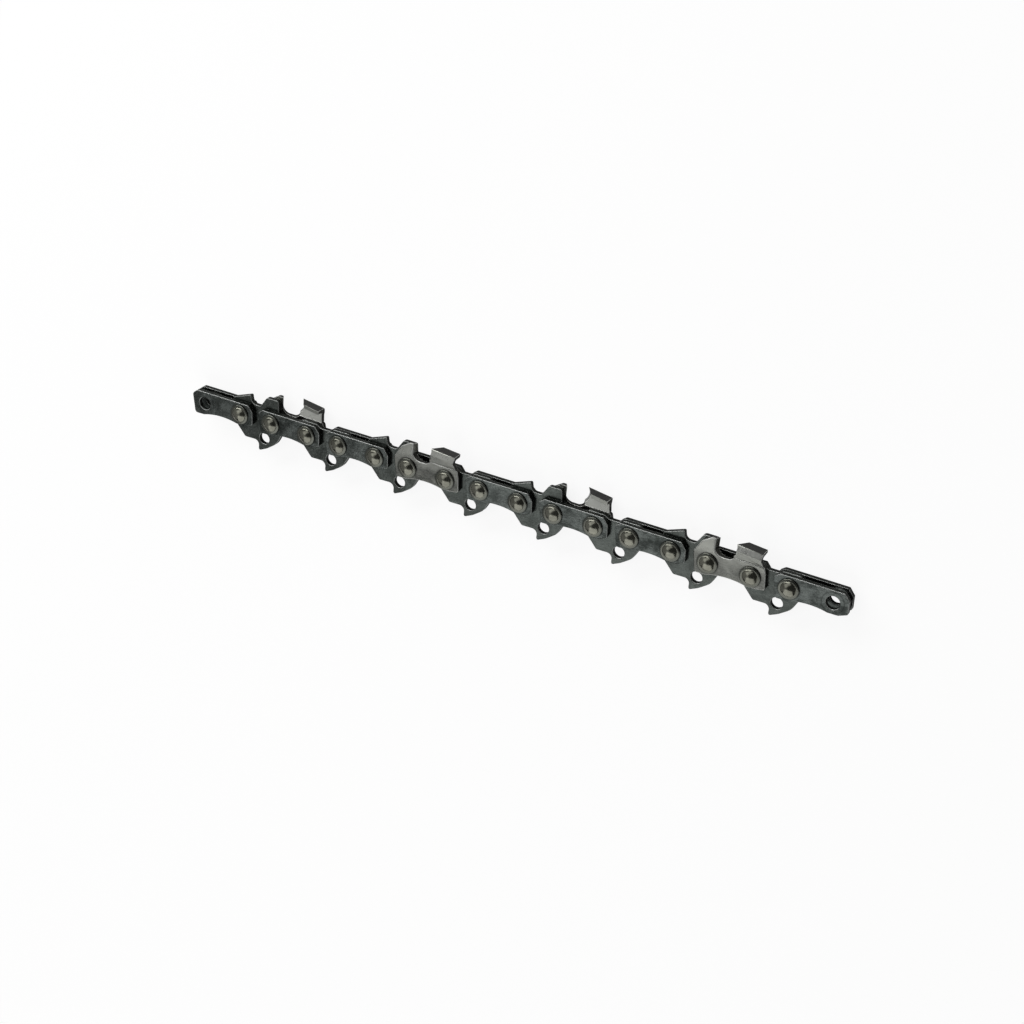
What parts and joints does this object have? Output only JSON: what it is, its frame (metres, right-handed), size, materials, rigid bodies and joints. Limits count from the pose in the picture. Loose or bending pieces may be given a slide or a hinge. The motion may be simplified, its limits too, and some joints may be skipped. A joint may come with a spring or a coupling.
{
  "type": "chainsaw chain",
  "caption": "Open strand of saw chain: drive links with hooked tangs, paired tie straps and alternating left and right chisel cutters with depth gauges, joined by rivets.",
  "frame": {"origin": "centre of the open rivet hole at the leading end, on the chain's middle plane", "axes": "the chain lies on its side: +X along the strand and opposite to its travel, +Y towards the cutter tops, +Z along the rivets towards the chain's left-hand side"},
  "size_m": [0.1662, 0.0152, 0.006],
  "materials": {
    "cutter_steel": "satin, chrome-plated and lightly ground",
    "strap_steel": "satin, dark heat-treated",
    "drive_steel": "satin, dark heat-treated",
    "rivet_steel": "satin, peened"
  },
  "bodies": {
    "pair_1": {"tie_strap_1_left": "strap_steel", "tie_strap_1_right": "strap_steel", "rivet_1": "rivet_steel"},
    "pair_2": {"tie_strap_2_left": "strap_steel", "cutter_2_right": "cutter_steel", "rivet_2": "rivet_steel", "rivet_3": "rivet_steel"},
    "pair_3": {"tie_strap_3_left": "strap_steel", "tie_strap_3_right": "strap_steel", "rivet_4": "rivet_steel", "rivet_5": "rivet_steel"},
    "pair_4": {"cutter_4_left": "cutter_steel", "tie_strap_4_right": "strap_steel", "rivet_6": "rivet_steel", "rivet_7": "rivet_steel"},
    "pair_5": {"tie_strap_5_left": "strap_steel", "tie_strap_5_right": "strap_steel", "rivet_8": "rivet_steel", "rivet_9": "rivet_steel"},
    "pair_6": {"tie_strap_6_left": "strap_steel", "cutter_6_right": "cutter_steel", "rivet_10": "rivet_steel", "rivet_11": "rivet_steel"},
    "pair_7": {"tie_strap_7_left": "strap_steel", "tie_strap_7_right": "strap_steel", "rivet_12": "rivet_steel", "rivet_13": "rivet_steel"},
    "pair_8": {"cutter_8_left": "cutter_steel", "tie_strap_8_right": "strap_steel", "rivet_14": "rivet_steel", "rivet_15": "rivet_steel"},
    "pair_9": {"tie_strap_9_left": "strap_steel", "tie_strap_9_right": "strap_steel", "rivet_16": "rivet_steel"},
    "link_1": {"bumper_link_1": "drive_steel"},
    "link_2": {"drive_link_2": "drive_steel"},
    "link_3": {"bumper_link_3": "drive_steel"},
    "link_4": {"drive_link_4": "drive_steel"},
    "link_5": {"bumper_link_5": "drive_steel"},
    "link_6": {"drive_link_6": "drive_steel"},
    "link_7": {"bumper_link_7": "drive_steel"},
    "link_8": {"drive_link_8": "drive_steel"}
  },
  "joints": [
    {"name": "rivet_1_turn", "type": "hinge", "parent": "link_1", "child": "pair_1", "pos_m": [0.0099, 0, 0], "axis": [0, 0, 1], "range_deg": [-10, 30]},
    {"name": "rivet_2_turn", "type": "hinge", "parent": "pair_2", "child": "link_1", "pos_m": [0.01864, 0, 0], "axis": [0, 0, 1], "range_deg": [-10, 30]},
    {"name": "rivet_3_turn", "type": "hinge", "parent": "link_2", "child": "pair_2", "pos_m": [0.02854, 0, 0], "axis": [0, 0, 1], "range_deg": [-10, 30]},
    {"name": "rivet_4_turn", "type": "hinge", "parent": "pair_3", "child": "link_2", "pos_m": [0.03728, 0, 0], "axis": [0, 0, 1], "range_deg": [-10, 30]},
    {"name": "rivet_5_turn", "type": "hinge", "parent": "link_3", "child": "pair_3", "pos_m": [0.04718, 0, 0], "axis": [0, 0, 1], "range_deg": [-10, 30]},
    {"name": "rivet_6_turn", "type": "hinge", "parent": "pair_4", "child": "link_3", "pos_m": [0.05592, 0, 0], "axis": [0, 0, 1], "range_deg": [-10, 30]},
    {"name": "rivet_7_turn", "type": "hinge", "parent": "link_4", "child": "pair_4", "pos_m": [0.06582, 0, 0], "axis": [0, 0, 1], "range_deg": [-10, 30]},
    {"name": "rivet_8_turn", "type": "hinge", "parent": "pair_5", "child": "link_4", "pos_m": [0.07456, 0, 0], "axis": [0, 0, 1], "range_deg": [-10, 30]},
    {"name": "rivet_9_turn", "type": "hinge", "parent": "pair_5", "child": "link_5", "pos_m": [0.08446, 0, 0], "axis": [0, 0, 1], "range_deg": [-30, 10]},
    {"name": "rivet_10_turn", "type": "hinge", "parent": "link_5", "child": "pair_6", "pos_m": [0.0932, 0, 0], "axis": [0, 0, 1], "range_deg": [-30, 10]},
    {"name": "rivet_11_turn", "type": "hinge", "parent": "pair_6", "child": "link_6", "pos_m": [0.1031, 0, 0], "axis": [0, 0, 1], "range_deg": [-30, 10]},
    {"name": "rivet_12_turn", "type": "hinge", "parent": "link_6", "child": "pair_7", "pos_m": [0.11184, 0, 0], "axis": [0, 0, 1], "range_deg": [-30, 10]},
    {"name": "rivet_13_turn", "type": "hinge", "parent": "pair_7", "child": "link_7", "pos_m": [0.12174, 0, 0], "axis": [0, 0, 1], "range_deg": [-30, 10]},
    {"name": "rivet_14_turn", "type": "hinge", "parent": "link_7", "child": "pair_8", "pos_m": [0.13048, 0, 0], "axis": [0, 0, 1], "range_deg": [-30, 10]},
    {"name": "rivet_15_turn", "type": "hinge", "parent": "pair_8", "child": "link_8", "pos_m": [0.14038, 0, 0], "axis": [0, 0, 1], "range_deg": [-30, 10]},
    {"name": "rivet_16_turn", "type": "hinge", "parent": "link_8", "child": "pair_9", "pos_m": [0.14912, 0, 0], "axis": [0, 0, 1], "range_deg": [-30, 10]}
  ]
}
